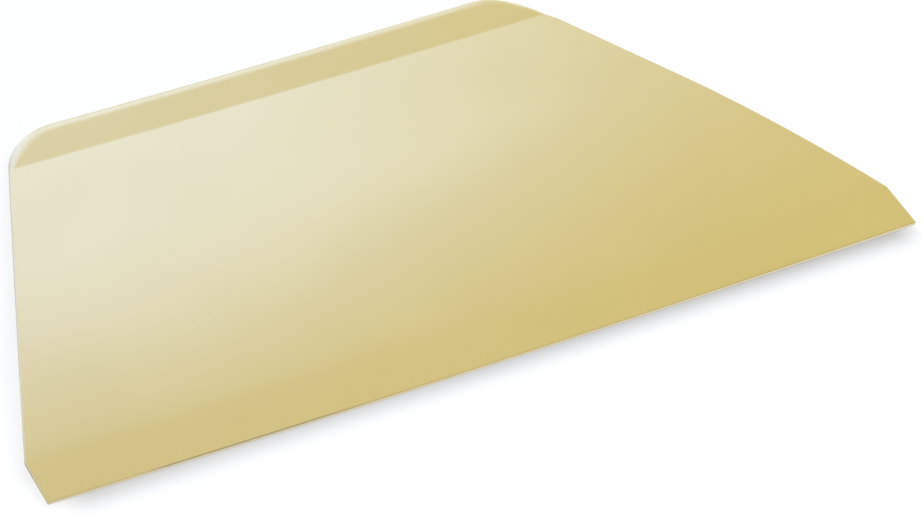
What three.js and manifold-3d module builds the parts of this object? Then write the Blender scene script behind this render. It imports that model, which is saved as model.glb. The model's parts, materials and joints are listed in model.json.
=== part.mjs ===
// Angled scraper: a one-piece plastic hand scraper for dough and worktops.
// Millimetres, +Z up. X runs along the blade edge, +Y from the blade to the grip.
// The origin is under the middle of the scraper, on the surface that it lies on.

import * as THREE from 'three';
import { mergeVertices } from 'three/addons/utils/BufferGeometryUtils.js';
import Module from 'manifold-3d';

// Plan
const BLADE_LENGTH = 216;      // along the blade edge
const DEPTH = 128;             // blade edge to back edge
const BLADE_DEPTH = 13;        // short square side at each end of the blade
const CREASE_WIDTH = 143.4;    // across the plate where the grip begins
const GRIP_DEPTH = 13.7;       // crease to back edge
const CORNER_RADIUS = 15.5;    // back corners, in plan

// Section: heights of the underside above the table, and thicknesses above that
const BLADE_THICKNESS = 0.5;   // blade edge, which touches the table
const BEVEL_RISE = 1.3;        // underside at the back of the blade bevel
const BEVEL_THICKNESS = 1.35;  // plate at the back of the blade bevel
const LAND_DEPTH = 39;         // straight part of the plate, in front of the crease
const LAND_RISE = 3.5;         // underside at the front of the straight part
const CREASE_RISE = 2.5;       // underside at the crease
const PLATE_THICKNESS = 2.5;   // straight part of the plate
const GRIP_SWELL = 2.2;        // how far the grip's top climbs from the crease to the back
const FOOT_DEPTH = 10;         // flat foot under the grip
const RIM_WIDTH = 4.6;         // rim round along the grip's upper edge, in plan
const RIM_HEIGHT = 3.5;        // and in height
const RIM_DIP = 0.4;           // share of its width at which the rim round leaves the climbing top
const FOOT_ROUND_WIDTH = 2.6;  // round along the foot's lower edge, in plan
const FOOT_ROUND_HEIGHT = 2.4; // and in height
const ROUND_FLARE = 8;         // degrees by which the rounds swing clear of each slanted side

// Facets
const PLAN_STEPS = 12;         // in each back corner
const SECTION_STEPS = 16;      // in each long curve of the section
const ROUND_STEPS = 5;         // in each edge round

const OVERSIZE = 10;           // how far a cutting body reaches past the plate

// Places along Y
const yBlade = -DEPTH / 2;
const yBack = DEPTH / 2;
const yBevel = yBlade + BLADE_DEPTH;
const yCrease = yBack - GRIP_DEPTH;
const yLand = yCrease - LAND_DEPTH;
const yFoot = yBack - FOOT_DEPTH;

// Heights along the top face
const zBevel = BEVEL_RISE + BEVEL_THICKNESS;
const zLand = LAND_RISE + PLATE_THICKNESS;
const zCrease = CREASE_RISE + PLATE_THICKNESS;
const zGrip = zCrease + GRIP_SWELL;
const zRim = zGrip - RIM_DIP * GRIP_SWELL * (RIM_WIDTH / GRIP_DEPTH);

// Control points of the section's two long curves. Each lies on the line of the straight part,
// half way along the curved part, so that the curve runs smoothly into that line.
const yBend = (yBevel + yLand) / 2;
const landToBend = (yCrease - yBend) / LAND_DEPTH;
const zUnderBend = CREASE_RISE + (LAND_RISE - CREASE_RISE) * landToBend;
const zOverBend = zCrease + (zLand - zCrease) * landToBend;

// Highest point of the curved top face
const crestShare = (zOverBend - zBevel) / (2 * zOverBend - zBevel - zLand);
const crest = new THREE.QuadraticBezierCurve(
  new THREE.Vector2(yBevel, zBevel),
  new THREE.Vector2(yBend, zOverBend),
  new THREE.Vector2(yLand, zLand),
).getPoint(THREE.MathUtils.clamp(crestShare, 0, 1));

// Back corner arc, tangent to the slanted side and to the back edge
const side = new THREE.Vector2(CREASE_WIDTH / 2 - BLADE_LENGTH / 2, yCrease - yBevel).normalize();
const sideNormal = new THREE.Vector2(side.y, -side.x);
const cornerY = yBack - CORNER_RADIUS;
const tangentY = cornerY + CORNER_RADIUS * sideNormal.y;
const tangentX = BLADE_LENGTH / 2 + (side.x / side.y) * (tangentY - yBevel);
const cornerX = tangentX - CORNER_RADIUS * sideNormal.x;
const cornerStart = sideNormal.angle();

const wasm = await Module();
wasm.setup();

// A closed geometry as a solid that can be cut
function solidOf(geometry) {
  const bare = geometry.clone();
  bare.deleteAttribute('normal');
  bare.deleteAttribute('uv');
  const merged = mergeVertices(bare);
  const mesh = new wasm.Mesh({
    numProp: 3,
    vertProperties: new Float32Array(merged.attributes.position.array),
    triVerts: new Uint32Array(merged.index.array),
  });
  return new wasm.Manifold(mesh);
}

// A cut solid as a flat-shaded geometry
function geometryOf(solid) {
  const mesh = solid.getMesh();
  const indexed = new THREE.BufferGeometry();
  indexed.setAttribute('position', new THREE.BufferAttribute(mesh.vertProperties, 3));
  indexed.setIndex(new THREE.BufferAttribute(mesh.triVerts, 1));
  const geometry = indexed.toNonIndexed();
  geometry.computeVertexNormals();
  return geometry;
}

// Plan outline: blade edge, short sides, slanted sides and round back corners
function planSolid() {
  const outline = new THREE.Shape();
  outline.moveTo(-BLADE_LENGTH / 2, yBlade - OVERSIZE);
  outline.lineTo(BLADE_LENGTH / 2, yBlade - OVERSIZE);
  outline.lineTo(BLADE_LENGTH / 2, yBevel);
  outline.absarc(cornerX, cornerY, CORNER_RADIUS, cornerStart, Math.PI / 2, false);
  outline.absarc(-cornerX, cornerY, CORNER_RADIUS, Math.PI / 2, Math.PI - cornerStart, false);
  outline.lineTo(-BLADE_LENGTH / 2, yBevel);
  const height = Math.max(zGrip, crest.y) + 2 * OVERSIZE;
  const prism = new THREE.ExtrudeGeometry(outline, {
    depth: height,
    bevelEnabled: false,
    curveSegments: PLAN_STEPS,
  });
  prism.translate(0, 0, -OVERSIZE);
  return solidOf(prism);
}

// Section, drawn in Y and Z: a thin arched plate, straight at the back and curving down to the
// blade bevel, and a grip whose top climbs from the crease and whose foot stands on the table
function sectionSolid() {
  const section = new THREE.Shape();
  section.moveTo(yBlade, 0);
  section.lineTo(yBevel, BEVEL_RISE);
  section.quadraticCurveTo(yBend, zUnderBend, yLand, LAND_RISE);
  section.lineTo(yCrease, CREASE_RISE);
  section.lineTo(yFoot, 0);
  section.lineTo(yBack, 0);
  section.lineTo(yBack, zGrip);
  section.lineTo(yCrease, zCrease);
  section.lineTo(yLand, zLand);
  section.quadraticCurveTo(yBend, zOverBend, yBevel, zBevel);
  section.lineTo(yBlade, BLADE_THICKNESS);
  const length = BLADE_LENGTH + 2 * OVERSIZE;
  const prism = new THREE.ExtrudeGeometry(section, {
    depth: length,
    bevelEnabled: false,
    curveSegments: SECTION_STEPS,
  });
  prism.rotateX(Math.PI / 2);
  prism.rotateZ(Math.PI / 2);
  prism.translate(-length / 2, 0, 0);
  return solidOf(prism);
}

// Body with round upper and lower edges around the grip. From the back corners its sides swing clear
// of the slanted sides, so that the rounds run out in front of the crease.
function roundedBody(width, height, low, high) {
  const flare = THREE.MathUtils.degToRad(ROUND_FLARE);
  const clear = side.clone().rotateAround(new THREE.Vector2(), flare).multiplyScalar(-DEPTH - OVERSIZE);
  const outline = new THREE.Shape();
  outline.moveTo(-tangentX - clear.x, tangentY + clear.y);
  outline.lineTo(tangentX + clear.x, tangentY + clear.y);
  outline.absarc(cornerX, cornerY, CORNER_RADIUS, cornerStart, Math.PI / 2, false);
  outline.absarc(-cornerX, cornerY, CORNER_RADIUS, Math.PI / 2, Math.PI - cornerStart, false);
  const body = new THREE.ExtrudeGeometry(outline, {
    depth: high - low - 2 * height,
    bevelEnabled: true,
    bevelThickness: height,
    bevelSize: width,
    bevelOffset: -width,
    bevelSegments: ROUND_STEPS,
    curveSegments: PLAN_STEPS,
  });
  body.translate(0, 0, low + height);
  return solidOf(body);
}

const ivory = new THREE.MeshStandardMaterial({ color: 0xdccb92, roughness: 0.38, metalness: 0 });
const rim = roundedBody(RIM_WIDTH, RIM_HEIGHT, -OVERSIZE, Math.max(zRim, crest.y));
const foot = roundedBody(FOOT_ROUND_WIDTH, FOOT_ROUND_HEIGHT, 0, Math.max(zGrip, crest.y) + OVERSIZE);
const body = planSolid().intersect(sectionSolid()).intersect(rim).intersect(foot);
const scraperBody = new THREE.Mesh(geometryOf(body), ivory);
scraperBody.name = 'scraper_body';

const scraper = new THREE.Group();
scraper.add(scraperBody);

export default scraper;
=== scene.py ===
"""Dresses the angled scraper: one ivory plastic moulding lying on a white studio floor.

Metres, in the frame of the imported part: X along the blade edge, +Y from the blade to the grip, +Z up.
"""
import json
import logging
import math
from dataclasses import dataclass
from enum import Enum

import bpy
from mathutils import Matrix, Vector

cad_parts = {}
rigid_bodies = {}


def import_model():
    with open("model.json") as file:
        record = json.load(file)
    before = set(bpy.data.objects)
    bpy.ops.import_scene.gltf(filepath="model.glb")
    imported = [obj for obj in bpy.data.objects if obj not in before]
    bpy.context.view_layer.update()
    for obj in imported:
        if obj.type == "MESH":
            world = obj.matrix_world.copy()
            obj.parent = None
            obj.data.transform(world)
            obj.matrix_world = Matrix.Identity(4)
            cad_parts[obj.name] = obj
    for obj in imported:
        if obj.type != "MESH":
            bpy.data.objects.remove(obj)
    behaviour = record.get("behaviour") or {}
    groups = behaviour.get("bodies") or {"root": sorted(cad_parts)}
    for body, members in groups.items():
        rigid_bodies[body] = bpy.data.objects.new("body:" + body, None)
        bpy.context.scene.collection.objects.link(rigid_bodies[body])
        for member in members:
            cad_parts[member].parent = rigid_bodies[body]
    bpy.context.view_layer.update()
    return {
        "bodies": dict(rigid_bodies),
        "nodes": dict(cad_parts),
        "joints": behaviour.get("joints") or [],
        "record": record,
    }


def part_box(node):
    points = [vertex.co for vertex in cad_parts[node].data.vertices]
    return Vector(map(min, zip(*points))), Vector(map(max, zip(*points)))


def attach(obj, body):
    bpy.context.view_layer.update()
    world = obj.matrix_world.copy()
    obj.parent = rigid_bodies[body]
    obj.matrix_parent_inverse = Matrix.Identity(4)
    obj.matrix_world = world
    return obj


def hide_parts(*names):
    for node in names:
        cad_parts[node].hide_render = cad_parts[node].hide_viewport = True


MM = 0.001
PART = "scraper_body"
LOG = logging.getLogger("scraper")

Colour = tuple[float, float, float, float]
Point = tuple[float, float, float]
Pair = tuple[float, float]

WHITE: Colour = (1.0, 1.0, 1.0, 1.0)
BLACK: Colour = (0.0, 0.0, 0.0, 1.0)
NOISE_MEAN = 0.5
SEEN_RAYS = ("Camera", "Glossy", "Transmission")


def linear(code: str) -> Colour:
    """Scene-linear colour of a display colour.

    Args:
        code: Six hexadecimal digits, red first.

    Returns:
        Red, green, blue and an alpha of 1.
    """
    shares = [int(code[at:at + 2], 16) / 255 for at in (0, 2, 4)]
    red, green, blue = [s / 12.92 if s <= 0.04045 else ((s + 0.055) / 1.055) ** 2.4 for s in shares]
    return (red, green, blue, 1.0)


def smooth_step(low: float, high: float, at: float) -> float:
    """Share from 0 to 1 that eases in and out between two places.

    Args:
        low: Place where the share leaves 0.
        high: Place where the share reaches 1.
        at: Place asked for.

    Returns:
        The eased share.
    """
    share = min(1.0, max(0.0, (at - low) / (high - low)))
    return share * share * (3 - 2 * share)


def soft_max(a: float, b: float, soft: float) -> float:
    """Larger of two heights, with the corner between them eased over about `soft`."""
    return 0.5 * (a + b + math.hypot(a - b, soft))


def soft_min(a: float, b: float, soft: float) -> float:
    """Smaller of two heights, with the corner between them eased over about `soft`."""
    return 0.5 * (a + b - math.hypot(a - b, soft))


class Value:
    """A node socket that takes part in arithmetic; each operation adds one Math node."""

    def __init__(self, graph: "Graph", socket: bpy.types.NodeSocket) -> None:
        """Wraps a socket.

        Args:
            graph: Graph that the socket belongs to.
            socket: Output socket to wrap.
        """
        self.graph = graph
        self.socket = socket

    def math(self, operation: str, *terms: "Value | float") -> "Value":
        """This value and up to two others through one Math node.

        Args:
            operation: Blender's name of the operation.
            terms: The other operands, in order.

        Returns:
            The result.
        """
        inputs = dict(enumerate((self, *terms)))
        return self.graph.value("ShaderNodeMath", {"operation": operation}, inputs)

    def swapped(self, operation: str, first: float) -> "Value":
        """A plain number and this value, in that order, through one Math node."""
        return self.graph.value("ShaderNodeMath", {"operation": operation}, {0: first, 1: self})

    def __add__(self, other: "Value | float") -> "Value":
        """Sum."""
        return self.math("ADD", other)

    def __radd__(self, other: float) -> "Value":
        """Sum with the plain number first."""
        return self.swapped("ADD", other)

    def __sub__(self, other: "Value | float") -> "Value":
        """Difference."""
        return self.math("SUBTRACT", other)

    def __rsub__(self, other: float) -> "Value":
        """Difference from a plain number."""
        return self.swapped("SUBTRACT", other)

    def __mul__(self, other: "Value | float") -> "Value":
        """Product."""
        return self.math("MULTIPLY", other)

    def __truediv__(self, other: "Value | float") -> "Value":
        """Quotient."""
        return self.math("DIVIDE", other)

    def step(self, low: float, high: float) -> "Value":
        """Eased share from 0 at `low` to 1 at `high`."""
        settings = {"interpolation_type": "SMOOTHSTEP"}
        return self.graph.value("ShaderNodeMapRange", settings, {"Value": self, 1: low, 2: high})


class Graph:
    """A node tree under construction."""

    def __init__(self, tree: bpy.types.NodeTree) -> None:
        """Empties a tree.

        Args:
            tree: Tree of a material or of the world.
        """
        self.tree = tree
        tree.nodes.clear()

    def node(self, kind: str, settings: dict | None = None, inputs: dict | None = None) -> bpy.types.Node:
        """One node with its settings and inputs.

        Args:
            kind: Blender's name of the node type.
            settings: Properties, set before the inputs.
            inputs: Plain values or Values by the socket's name or number.

        Returns:
            The node.
        """
        made = self.tree.nodes.new(kind)
        for name, setting in (settings or {}).items():
            setattr(made, name, setting)
        for name, given in (inputs or {}).items():
            if isinstance(given, Value):
                self.tree.links.new(given.socket, made.inputs[name])
            else:
                made.inputs[name].default_value = given
        return made

    def value(self, kind: str, settings: dict | None = None, inputs: dict | None = None,
              output: int | str = 0) -> Value:
        """One output of a new node.

        Args:
            kind: Blender's name of the node type.
            settings: Properties, set before the inputs.
            inputs: Plain values or Values by the socket's name or number.
            output: Name or number of the output.

        Returns:
            The wrapped output.
        """
        return Value(self, self.node(kind, settings, inputs).outputs[output])

    def noise(self, place: Value, scale: float, detail: float) -> Value:
        """Noise about 0.5, in features of about 1 / `scale` metres."""
        return self.value("ShaderNodeTexNoise", None, {"Vector": place, "Scale": scale, "Detail": detail})

    def mix(self, share: Value, first: Value | Colour, second: Value | Colour) -> Value:
        """Colour that goes from `first` to `second` with a share."""
        settings = {"data_type": "RGBA"}
        return self.value("ShaderNodeMix", settings, {"Factor": share, 6: first, 7: second}, 2)


@dataclass(frozen=True)
class IvoryPlastic:
    """Satin ivory plastic with a fine moulded grain, faint hairlines, a painted highlight on its edges and a
    line on the blade.

    A noise is its scale per metre and its detail. A span holds two values between which a share goes
    from 0 to 1, and a turn does the same for one part of the surface's direction.
    """

    body: Colour = linear("cdb560")
    roughness: float = 0.38
    index: float = 1.6
    relief_strength: float = 0.12
    relief_height: float = 0.02 * MM

    # Broad faint clouds in the colour, the gloss and the relief
    cloud: Colour = linear("cbb35d")
    cloud_noise: Pair = (22, 3)
    cloud_span: Pair = (0.35, 0.65)
    cloud_rough: float = 0.06
    cloud_relief: float = 0.8

    # Fine grain of the mould
    grain_noise: Pair = (2600, 2)
    grain_relief: float = 0.7

    # Hairlines, drawn out from the blade to the grip
    hair_noise: Pair = (1500, 2)
    hair_stretch: Point = (1.0, 0.035, 1.0)
    hair_span: Pair = (0.66, 0.78)
    hair_rough: float = 0.04
    hair_relief: float = 0.5

    # Duller wear behind the blade edge
    wear_noise: Pair = (240, 3)
    wear_span: Pair = (0.4, 0.62)
    wear_width: float = 1.6 * MM
    wear_rough: float = 0.05

    # Painted highlight: a paler colour on the edge rounds, the upright walls and the blade wall, set by the
    # surface's direction
    edge: Colour = linear("efe5ca")
    painted_highlight_share: float = 0.9
    blade_share: float = 0.9
    wall_share: float = 0.5
    side_turn: Pair = (0.07, 0.36)
    back_turn: Pair = (0.3, 0.56)
    blade_turn: Pair = (0.6, 0.9)
    level_turn: Pair = (0.45, 0.78)

    # Dark line on top of the blade edge: where it begins and ends behind the edge, and along it
    line: Colour = linear("8f7d42")
    line_faint: float = 0.3
    line_clear: float = 0.9
    line_near: float = 0.05 * MM
    line_far: Pair = (0.325 * MM, 0.575 * MM)
    line_start: Pair = (-86 * MM, -79 * MM)
    line_end: Pair = (-50 * MM, -22 * MM)

    def painted_highlight(self, graph: Graph) -> Value:
        """Share of the painted highlight colour, highest on the blade wall and where the sides and the back
        turn down.

        Args:
            graph: Graph to add the nodes to.

        Returns:
            The share.
        """
        facing = graph.value("ShaderNodeTexCoord", output="Normal")
        split = graph.node("ShaderNodeSeparateXYZ", None, {"Vector": facing})
        across, along, rise = [Value(graph, output) for output in split.outputs]
        side = across.math("ABSOLUTE").step(*self.side_turn)
        back = along.step(*self.back_turn)
        blade = (along * -1.0).step(*self.blade_turn) * self.blade_share
        level = rise.math("ABSOLUTE").step(*self.level_turn)
        level = self.wall_share + level * (1 - self.wall_share)
        turned = side.math("MAXIMUM", back) * level
        return turned.math("MAXIMUM", blade) * self.painted_highlight_share

    def edge_line(self, graph: Graph, place: Value, blade_y: float) -> Value:
        """Share of the fine dark line on top of the blade edge, clearest in its left half.

        Args:
            graph: Graph to add the nodes to.
            place: Place on the scraper.
            blade_y: Place of the blade edge.

        Returns:
            The share.
        """
        x, y = [graph.value("ShaderNodeSeparateXYZ", None, {"Vector": place}, axis) for axis in "XY"]
        fade_start, fade_end = [blade_y + by for by in self.line_far]
        near = y.step(blade_y, blade_y + self.line_near) * (1 - y.step(fade_start, fade_end))
        clear = x.step(*self.line_start) * (1 - x.step(*self.line_end))
        return near * (self.line_faint + clear * (self.line_clear - self.line_faint))

    def material(self, blade_y: float) -> bpy.types.Material:
        """Builds the material.

        Args:
            blade_y: Place of the blade edge, where the wear and the line are.

        Returns:
            The material.
        """
        made = bpy.data.materials.new("ivory_plastic_finish")
        made.use_nodes = True
        graph = Graph(made.node_tree)
        place = graph.value("ShaderNodeTexCoord", output="Object")
        depth = graph.value("ShaderNodeSeparateXYZ", None, {"Vector": place}, "Y")
        cloud = graph.noise(place, *self.cloud_noise)
        grain = graph.noise(place, *self.grain_noise)
        drawn = graph.value("ShaderNodeMapping", None, {"Vector": place, "Scale": self.hair_stretch})
        hair = graph.noise(drawn, *self.hair_noise).step(*self.hair_span)
        worn = graph.noise(place, *self.wear_noise).step(*self.wear_span)
        wear = (1 - depth.step(blade_y, blade_y + self.wear_width)) * worn
        colour = graph.mix(cloud.step(*self.cloud_span), self.body, self.cloud)
        colour = graph.mix(self.edge_line(graph, place, blade_y), colour, self.line)
        # Painted highlight: the pale edge colour mixed in where the surface turns down at the edges
        colour = graph.mix(self.painted_highlight(graph), colour, self.edge)
        rough = self.roughness + (cloud - NOISE_MEAN) * self.cloud_rough
        rough = rough + hair * self.hair_rough + wear * self.wear_rough
        relief = grain * self.grain_relief + cloud * self.cloud_relief - hair * self.hair_relief
        normal = graph.value("ShaderNodeBump", None, {
            "Strength": self.relief_strength,
            "Distance": self.relief_height,
            "Height": relief,
        })
        surface = graph.value("ShaderNodeBsdfPrincipled", None, {
            "Base Color": colour,
            "Roughness": rough,
            "Normal": normal,
            "IOR": self.index,
        })
        graph.node("ShaderNodeOutputMaterial", None, {"Surface": surface})
        return made


@dataclass(frozen=True)
class Station:
    """One place on the plan outline, with its outward direction."""

    x: float
    y: float
    out_x: float
    out_y: float

    def mirrored(self) -> "Station":
        """The same place on the other half of the scraper."""
        return Station(-self.x, self.y, -self.out_x, self.out_y)

    def inset(self, by: float) -> Pair:
        """Place `by` metres inside the outline."""
        return (self.x - self.out_x * by, self.y - self.out_y * by)


@dataclass(frozen=True)
class PlanOutline:
    """Plan of the scraper: wide blade, short square sides, slanted sides and round back corners."""

    half_length: float
    blade_y: float
    back_y: float
    blade_depth: float = 13.0 * MM
    crease_half: float = 71.7 * MM
    grip_depth: float = 13.7 * MM
    corner_radius: float = 15.5 * MM
    tip_radius: float = 0.4 * MM
    kink_radius: float = 1.1 * MM

    # Stations: rows along the straight sides, closer rows beside the crease, and steps in a quarter turn
    row_step: float = 1.1 * MM
    row_clear: float = 0.33 * MM
    least_rows: int = 2
    crease_rows: tuple[float, ...] = (0.1 * MM, 0.25 * MM, 0.45 * MM, 0.8 * MM)
    quarter_steps: int = 28
    least_steps: int = 6

    def corners(self) -> list[Vector]:
        """Sharp corners of the right half, from the middle of the blade to the middle of the back.

        Returns:
            Five places in plan.
        """
        bevel_y = self.blade_y + self.blade_depth
        crease_y = self.back_y - self.grip_depth
        lean = (self.crease_half - self.half_length) / (crease_y - bevel_y)
        back_x = self.half_length + lean * (self.back_y - bevel_y)
        return [
            Vector((0.0, self.blade_y)),
            Vector((self.half_length, self.blade_y)),
            Vector((self.half_length, bevel_y)),
            Vector((back_x, self.back_y)),
            Vector((0.0, self.back_y)),
        ]

    def right_side(self) -> list[Station]:
        """Stations from the end of the blade edge to the start of the back edge, both included.

        Returns:
            The stations, blade first.
        """
        corners = self.corners()
        radii = (self.tip_radius, self.kink_radius, self.corner_radius)
        stations: list[Station] = []
        for at, radius in enumerate(radii, 1):
            coming = (corners[at] - corners[at - 1]).normalized()
            going = (corners[at + 1] - corners[at]).normalized()
            start = math.atan2(-coming.x, coming.y)
            turn = coming.angle(going)
            reach = radius * math.tan(turn / 2)
            first = corners[at] - coming * reach
            centre = first + Vector((-coming.y, coming.x)) * radius
            if stations:
                stations += self.straight(stations[-1], first)
            steps = max(self.least_steps, round(self.quarter_steps * turn / (math.pi / 2)))
            for step in range(steps + 1):
                angle = start + turn * step / steps
                out = Vector((math.cos(angle), math.sin(angle)))
                here = centre + out * radius
                stations.append(Station(here.x, here.y, out.x, out.y))
        return stations

    def straight(self, last: Station, end: Vector) -> list[Station]:
        """Stations between two arcs, both ends left out.

        Args:
            last: Last station of the arc before.
            end: Start of the next arc.

        Returns:
            The stations between.
        """
        start = Vector((last.x, last.y))
        run = end - start
        count = max(self.least_rows, round(run.length / self.row_step))
        crease_y = self.back_y - self.grip_depth
        clear = self.crease_rows[-1] + self.row_clear
        rows = [last.y + run.y * step / count for step in range(1, count)]
        rows = [y for y in rows if abs(y - crease_y) > clear]
        if last.y < crease_y < end.y:
            rows += [crease_y, *(crease_y + side * by for by in self.crease_rows for side in (-1, 1))]
        places = [start + run * (y - last.y) / run.y for y in sorted(rows)]
        return [Station(here.x, here.y, last.out_x, last.out_y) for here in places]


@dataclass(frozen=True)
class SideProfile:
    """Heights of the top and the underside along Y: a thin arched plate and a grip with a foot."""

    blade_y: float
    back_y: float
    blade_depth: float = 13.0 * MM
    grip_depth: float = 13.7 * MM
    land_depth: float = 39.0 * MM
    foot_depth: float = 10.0 * MM
    blade_thickness: float = 0.5 * MM
    bevel_rise: float = 1.3 * MM
    bevel_thickness: float = 1.35 * MM
    land_rise: float = 3.5 * MM
    crease_rise: float = 2.5 * MM
    plate_thickness: float = 2.5 * MM
    grip_swell: float = 2.2 * MM

    # Easing of the crease, of the foot's front and of the corner where the hollow ends
    crease_soft: float = 0.03 * MM
    foot_soft: float = 0.5 * MM
    hollow_soft: float = 0.25 * MM

    @property
    def bevel_y(self) -> float:
        """Back of the blade bevel."""
        return self.blade_y + self.blade_depth

    @property
    def crease_y(self) -> float:
        """Crease between the plate and the grip."""
        return self.back_y - self.grip_depth

    def plate(self, y: float, rise: float, bevel: float) -> float:
        """Height of one long face: straight at the back, curving down to the bevel in front.

        Args:
            y: Place asked for.
            rise: Height of the face at the crease.
            bevel: Height of the face at the back of the bevel.

        Returns:
            The height.
        """
        slope = (self.land_rise - self.crease_rise) / self.land_depth
        land_y = self.crease_y - self.land_depth
        drop = rise + slope * (self.crease_y - self.bevel_y) - bevel
        share = max(0.0, (land_y - y) / (land_y - self.bevel_y))
        return rise + slope * (self.crease_y - y) - drop * share * share

    def over(self, y: float) -> float:
        """Height of the top.

        Args:
            y: Place asked for.

        Returns:
            The height.
        """
        top = self.bevel_rise + self.bevel_thickness
        crease = self.crease_rise + self.plate_thickness
        share = (y - self.blade_y) / self.blade_depth
        bevel = self.blade_thickness + (top - self.blade_thickness) * share
        plate = soft_min(bevel, self.plate(y, crease, top), self.crease_soft)
        ramp = crease + self.grip_swell * (y - self.crease_y) / self.grip_depth
        return soft_max(plate, ramp, self.crease_soft)

    def under(self, y: float) -> float:
        """Height of the underside.

        Args:
            y: Place asked for.

        Returns:
            The height.
        """
        if y < self.bevel_y:
            return max(0.0, self.bevel_rise * (y - self.blade_y) / self.blade_depth)
        plate = self.plate(y, self.crease_rise, self.bevel_rise)
        foot_y = self.back_y - self.foot_depth
        fall = self.crease_rise * (foot_y - y) / (foot_y - self.crease_y)
        return soft_min(plate, soft_max(fall, 0.0, self.foot_soft), self.hollow_soft)


class Face(Enum):
    """The two long faces of the moulding."""

    OVER = "over"
    UNDER = "under"


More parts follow.
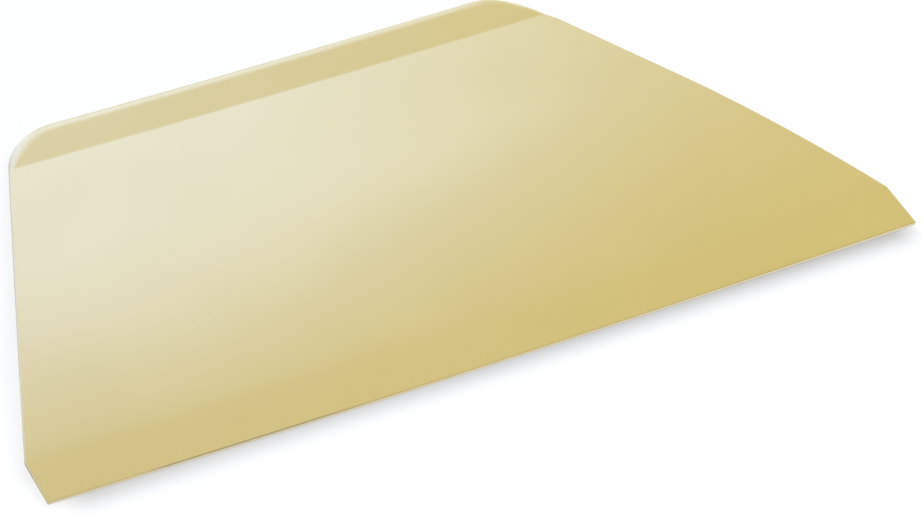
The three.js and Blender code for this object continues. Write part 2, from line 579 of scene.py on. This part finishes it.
@dataclass
class ScraperMoulding:
    """The whole scraper, as one closed moulding with its edge rounds and its slight bow."""

    plan: PlanOutline
    profile: SideProfile
    bow: float = 1.08 * MM

    # Thin rounds of the sides, which leave the blade edge keen
    side_round: float = 0.7 * MM
    side_share: float = 0.3
    keen: float = 0.25 * MM

    # Full rounds of the grip, in plan and in height, and where they start and are full, from the crease back
    grip_over: Pair = (4.6 * MM, 3.5 * MM)
    grip_under: Pair = (2.6 * MM, 2.4 * MM)
    over_start: float = -4.0 * MM
    under_start: float = 0.5 * MM
    round_full: float = 9.5 * MM

    # Mould seam half way up the wall: how far it stands out, half of its height, and the most of the wall
    # that this half may take
    seam: float = 0.04 * MM
    seam_half: float = 0.09 * MM
    seam_share: float = 0.25

    # Facets
    columns: int = 60
    inner_share: float = 0.985
    outer_share: float = 0.995
    round_steps: int = 9

    def __post_init__(self) -> None:
        """Starts with an empty mesh."""
        self.points: list[Point] = []
        self.quads: list[tuple[int, int, int, int]] = []

    def edge_round(self, face: Face, y: float) -> Pair:
        """Width and height of the edge round, which is thin at the sides and full round the grip.

        Args:
            face: Face that the round belongs to.
            y: Place on the outline.

        Returns:
            How far the round reaches in plan, and its height.
        """
        thickness = self.profile.over(y) - self.profile.under(y)
        thin = min(self.side_round, self.side_share * (thickness - self.keen))
        if face is Face.OVER:
            start, full = self.over_start, self.grip_over
        else:
            start, full = self.under_start, self.grip_under
        crease = self.profile.crease_y
        share = smooth_step(crease + start, crease + self.round_full, y)
        wide, high = [thin + (size - thin) * share for size in full]
        return (wide, high)

    def edge_point(self, face: Face, station: Station, angle: float) -> int:
        """Adds one point of an edge round.

        Args:
            face: Face that the round belongs to.
            station: Place on the outline.
            angle: 0 where the round leaves the face, a right angle where it meets the wall.

        Returns:
            Number of the point.
        """
        wide, high = self.edge_round(face, station.y)
        x, y = station.inset(wide * (1 - math.sin(angle)))
        drop = high * (1 - math.cos(angle))
        if face is Face.OVER:
            return self.put(x, y, self.profile.over(y) - drop)
        return self.put(x, y, self.profile.under(y) + drop)

    def put(self, x: float, y: float, z: float) -> int:
        """Adds one point, lifted by the bow towards the ends.

        Args:
            x: Place along the blade.
            y: Place from blade to grip.
            z: Height before the bow.

        Returns:
            Number of the point.
        """
        lift = self.bow * (x / self.plan.half_length) ** 2
        self.points.append((x, y, z + lift))
        return len(self.points) - 1

    def spread(self) -> list[float]:
        """Columns from -1 to 1, crowded towards both ends.

        Returns:
            The shares of the half width.
        """
        places = [2 * at / self.columns - 1 for at in range(self.columns + 1)]
        inner = [share * self.inner_share for share in places]
        return [-1.0, -self.outer_share, *inner, self.outer_share, 1.0]

    def long_face(self, face: Face, side: list[Station]) -> list[list[int]]:
        """One long face as rows from the blade to the back.

        Args:
            face: Which of the two faces.
            side: Stations of the right side.

        Returns:
            Numbers of the points, row by row.
        """
        rows: list[list[int]] = []
        for station in side:
            edge_x, y = station.inset(self.edge_round(face, station.y)[0])
            z = self.profile.over(y) if face is Face.OVER else self.profile.under(y)
            rows.append([self.put(edge_x * share, y, z) for share in self.spread()])
        for near, far in zip(rows, rows[1:]):
            for at in range(len(near) - 1):
                quad = (near[at], near[at + 1], far[at + 1], far[at])
                self.quads.append(quad if face is Face.OVER else quad[::-1])
        return rows

    @staticmethod
    def rim_of(rows: list[list[int]]) -> list[int]:
        """Points round the edge of a long face, starting at the left end of the blade.

        Args:
            rows: The face, row by row.

        Returns:
            Numbers of the points, against the clock.
        """
        right = [row[-1] for row in rows[1:-1]]
        left = [row[0] for row in rows[-2:0:-1]]
        return [*rows[0], *right, *rows[-1][::-1], *left]

    def loop(self, side: list[Station]) -> list[Station]:
        """Stations of the whole outline, in the order of `rim_of`.

        Args:
            side: Stations of the right side.

        Returns:
            The stations, against the clock.
        """
        blade, back = side[0], side[-1]
        front = [Station(blade.x * share, blade.y, 0.0, -1.0) for share in self.spread()]
        rear = [Station(back.x * share, back.y, 0.0, 1.0) for share in self.spread()]
        left = [station.mirrored() for station in side[-2:0:-1]]
        return [*front, *side[1:-1], *rear[::-1], *left]

    def edge_band(self, loop: list[Station], over: list[int], under: list[int]) -> None:
        """Edge between the two long faces: upper round, upright wall with the mould seam, lower round.

        Args:
            loop: Stations of the outline.
            over: Rim of the top.
            under: Rim of the underside.
        """
        rings = [[first] for first in over]
        angles = [math.pi / 2 * step / self.round_steps for step in range(1, self.round_steps + 1)]
        for ring, station, last in zip(rings, loop, under):
            ring += [self.edge_point(Face.OVER, station, angle) for angle in angles]
            top = self.profile.over(station.y) - self.edge_round(Face.OVER, station.y)[1]
            foot = self.profile.under(station.y) + self.edge_round(Face.UNDER, station.y)[1]
            half = min(self.seam_half, self.seam_share * (top - foot))
            for offset, height in ((0.0, half), (min(self.seam, half), 0.0), (0.0, -half)):
                x, y = station.inset(-offset)
                ring.append(self.put(x, y, (top + foot) / 2 + height))
            ring += [self.edge_point(Face.UNDER, station, angle) for angle in reversed(angles)]
            ring.append(last)
        for near, far in zip(rings, [*rings[1:], rings[0]]):
            for at in range(len(near) - 1):
                self.quads.append((near[at], near[at + 1], far[at + 1], far[at]))

    def build(self, finish: IvoryPlastic) -> bpy.types.Object:
        """Makes the mesh and dresses it.

        Args:
            finish: Finish of the plastic.

        Returns:
            The piece, in place.
        """
        side = self.plan.right_side()
        over = self.rim_of(self.long_face(Face.OVER, side))
        under = self.rim_of(self.long_face(Face.UNDER, side))
        self.edge_band(self.loop(side), over, under)
        mesh = bpy.data.meshes.new("scraper_moulding")
        mesh.from_pydata(self.points, [], self.quads)
        mesh.validate()
        mesh.shade_smooth()
        mesh.materials.append(finish.material(self.profile.blade_y))
        piece = bpy.data.objects.new("scraper_moulding", mesh)
        bpy.context.scene.collection.objects.link(piece)
        return piece


@dataclass(frozen=True)
class Softbox:
    """A rectangular studio lamp."""

    name: str
    place: Point
    aim: Point
    width: float
    height: float
    radiance: float
    tint: Point = (1.0, 1.0, 1.0)

    def hang(self) -> bpy.types.Object:
        """Makes the lamp and points it at its aim.

        Returns:
            The lamp object.
        """
        lamp = bpy.data.lights.new(self.name, "AREA")
        lamp.shape = "RECTANGLE"
        lamp.size = self.width
        lamp.size_y = self.height
        lamp.energy = self.radiance * math.pi * self.width * self.height
        lamp.color = self.tint
        made = bpy.data.objects.new(self.name, lamp)
        made.location = self.place
        made.rotation_euler = (Vector(self.aim) - Vector(self.place)).to_track_quat("-Z", "Y").to_euler()
        bpy.context.scene.collection.objects.link(made)
        return made


@dataclass(frozen=True)
class Studio:
    """White floor with a painted shadow along the blade, plain surrounding light and the softboxes."""

    floor_half: float = 4.0
    floor_drop: float = 0.02 * MM
    floor_bounce: Colour = (0.85, 0.85, 0.85, 1.0)
    floor_shade: Colour = (0.16, 0.16, 0.16, 1.0)
    floor_glow: float = 0.88
    ambient: Colour = (0.42, 0.42, 0.42, 1.0)

    # Painted shadow on the floor: its depths, its fall away from the edge, and its ends along the blade
    blade_shade: float = 0.44
    side_shade: float = 0.115
    shade_reach: float = 4.35 * MM
    shade_fall: float = 1.6
    shade_lead: float = 10.5 * MM
    shade_tail: float = 6.5 * MM
    shade_past: float = 3.0 * MM
    shade_turn: Pair = (-70 * MM, 20 * MM)
    shade_lag: float = 0.26

    softboxes: tuple[Softbox, ...] = (
        Softbox(
            name="back_softbox",
            place=(0.164, 0.814, 0.525),
            aim=(-0.03, 0.02, 0.0),
            width=0.454,
            height=0.755,
            radiance=6.5,
            tint=(0.45, 0.63, 1.0),
        ),
        Softbox(
            name="front_softbox",
            place=(0.436, -0.6, 1.0),
            aim=(0.0, 0.0, 0.0),
            width=0.8,
            height=0.8,
            radiance=4.25,
        ),
        Softbox(
            name="low_back_softbox",
            place=(-0.3, 1.2, 0.14),
            aim=(-0.05, 0.0, 0.0),
            width=0.8,
            height=0.26,
            radiance=1.5,
            tint=(0.95, 0.97, 1.0),
        ),
    )

    @staticmethod
    def seen(graph: Graph) -> Value:
        """1 for rays from the camera, mirrors or glass, and 0 for rays that only carry light.

        Args:
            graph: Graph to add the nodes to.

        Returns:
            The share.
        """
        path = graph.node("ShaderNodeLightPath")
        direct, mirrored, through = [Value(graph, path.outputs[f"Is {kind} Ray"]) for kind in SEEN_RAYS]
        return direct.math("MAXIMUM", mirrored).math("MAXIMUM", through)

    def painted_shadow(self, graph: Graph, plan: PlanOutline) -> Value:
        """Shadow painted into the floor's white along the blade edge, fainter to the left and beside the
        sides.

        Args:
            graph: Graph to add the nodes to.
            plan: Outline of the scraper.

        Returns:
            Share of the floor's white that is lost.
        """
        place = graph.value("ShaderNodeTexCoord", output="Object")
        x, y = [graph.value("ShaderNodeSeparateXYZ", None, {"Vector": place}, axis) for axis in "XY"]
        corners = plan.corners()
        kink, back = corners[2], corners[3]
        lean = (back.x - kink.x) / (back.y - kink.y)
        half = kink.x + (y - kink.y).math("MAXIMUM", 0.0) * lean
        beside = (x.math("ABSOLUTE") - half).math("MAXIMUM", 0.0) / self.shade_reach
        before = (plan.blade_y - y).math("MAXIMUM", 0.0) / self.shade_reach
        away = (beside * beside + before * before).math("POWER", self.shade_fall / 2)
        fade = (away * -1.0).math("EXPONENT")
        lead = x.step(-kink.x, self.shade_lead - kink.x)
        tail = (x * -1.0).step(-kink.x - self.shade_past, self.shade_tail - kink.x)
        front = lead * tail * (1 - (1 - x.step(*self.shade_turn)) * self.shade_lag)
        aside = y.step(plan.blade_y, kink.y)
        return fade * (front + aside * (self.side_shade - front)) * self.blade_shade

    def floor(self, plan: PlanOutline) -> bpy.types.Object:
        """White floor that keeps the shadow, has a shadow painted along the blade and is lifted to white
        where it is seen.

        Args:
            plan: Outline of the scraper, for the painted shadow along it.

        Returns:
            The floor object.
        """
        half = self.floor_half
        mesh = bpy.data.meshes.new("studio_floor")
        corners = [(-half, -half, 0), (half, -half, 0), (half, half, 0), (-half, half, 0)]
        mesh.from_pydata(corners, [], [(0, 1, 2, 3)])
        made = bpy.data.materials.new("studio_floor_finish")
        made.use_nodes = True
        graph = Graph(made.node_tree)
        bounce = graph.value("ShaderNodeBsdfDiffuse", None, {"Color": self.floor_bounce})
        shade = graph.value("ShaderNodeBsdfDiffuse", None, {"Color": self.floor_shade})
        # Painted shadow: the floor's seen white is darkened along the blade
        painted_shadow_tone = graph.mix(self.painted_shadow(graph, plan), WHITE, BLACK)
        glow = graph.value("ShaderNodeEmission", None, {"Color": painted_shadow_tone, "Strength": self.floor_glow})
        shown = graph.value("ShaderNodeAddShader", None, {0: shade, 1: glow})
        either = graph.value("ShaderNodeMixShader", None, {0: self.seen(graph), 1: bounce, 2: shown})
        below = graph.value("ShaderNodeNewGeometry", output="Backfacing")
        clear = graph.value("ShaderNodeBsdfTransparent")
        sided = graph.value("ShaderNodeMixShader", None, {0: below, 1: either, 2: clear})
        graph.node("ShaderNodeOutputMaterial", None, {"Surface": sided})
        mesh.materials.append(made)
        floor = bpy.data.objects.new("studio_floor", mesh)
        floor.location.z = -self.floor_drop
        bpy.context.scene.collection.objects.link(floor)
        return floor

    def surround(self) -> None:
        """White background where it is seen, and plain light from all sides elsewhere."""
        world = bpy.data.worlds.new("studio_surround")
        world.use_nodes = True
        graph = Graph(world.node_tree)
        colour = graph.mix(self.seen(graph), self.ambient, WHITE)
        back = graph.value("ShaderNodeBackground", None, {"Color": colour, "Strength": 1.0})
        graph.node("ShaderNodeOutputWorld", None, {"Surface": back})
        bpy.context.scene.world = world

    def build(self, plan: PlanOutline) -> bpy.types.Object:
        """Sets up the studio.

        Args:
            plan: Outline of the scraper.

        Returns:
            The floor, which isn't part of the object.
        """
        self.surround()
        for softbox in self.softboxes:
            softbox.hang()
        return self.floor(plan)


@dataclass(frozen=True)
class ProductCamera:
    """Camera above and to the left of the blade, as in the product picture."""

    aim: Point = (15.038 * MM, -14.289 * MM, -8.725 * MM)
    distance: float = 970.32 * MM
    azimuth: float = -25.583
    elevation: float = 36.239
    roll: float = -1.581
    lens: float = 162.11
    sensor: float = 36.0

    def place(self) -> bpy.types.Object:
        """Makes the camera and gives it to the scene.

        Returns:
            The camera object.
        """
        turn, lift = math.radians(self.azimuth), math.radians(self.elevation)
        back = Vector((math.sin(turn) * math.cos(lift), -math.cos(turn) * math.cos(lift), math.sin(lift)))
        right = Vector((math.cos(turn), math.sin(turn), 0.0))
        up = back.cross(right)
        level = Matrix((right, up, back)).transposed()
        lens = bpy.data.cameras.new("product_camera")
        lens.sensor_fit = "HORIZONTAL"
        lens.sensor_width = self.sensor
        lens.lens = self.lens
        made = bpy.data.objects.new("product_camera", lens)
        frame = (level @ Matrix.Rotation(math.radians(self.roll), 3, "Z")).to_4x4()
        frame.translation = Vector(self.aim) + back * self.distance
        made.matrix_world = frame
        bpy.context.scene.collection.objects.link(made)
        bpy.context.scene.camera = made
        return made


def main() -> None:
    """Builds the pieces, the studio and the camera."""
    logging.basicConfig(level=logging.INFO, format="%(name)s: %(message)s")
    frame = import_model()
    low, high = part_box(PART)
    plan = PlanOutline(half_length=high.x, blade_y=low.y, back_y=high.y)
    profile = SideProfile(blade_y=low.y, back_y=high.y)
    piece = ScraperMoulding(plan, profile).build(IvoryPlastic())
    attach(piece, next(iter(frame["bodies"])))
    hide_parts(PART)
    LOG.info("%s: %d points, %d faces", piece.name, len(piece.data.vertices), len(piece.data.polygons))
    floor = Studio().build(plan)
    LOG.info("%s is set up", floor.name)
    camera = ProductCamera().place()
    LOG.info("%s stands at %s", camera.name, tuple(round(c, 4) for c in camera.matrix_world.translation))
    bpy.context.scene.view_settings.view_transform = "Standard"


if __name__ == "__main__":
    main()
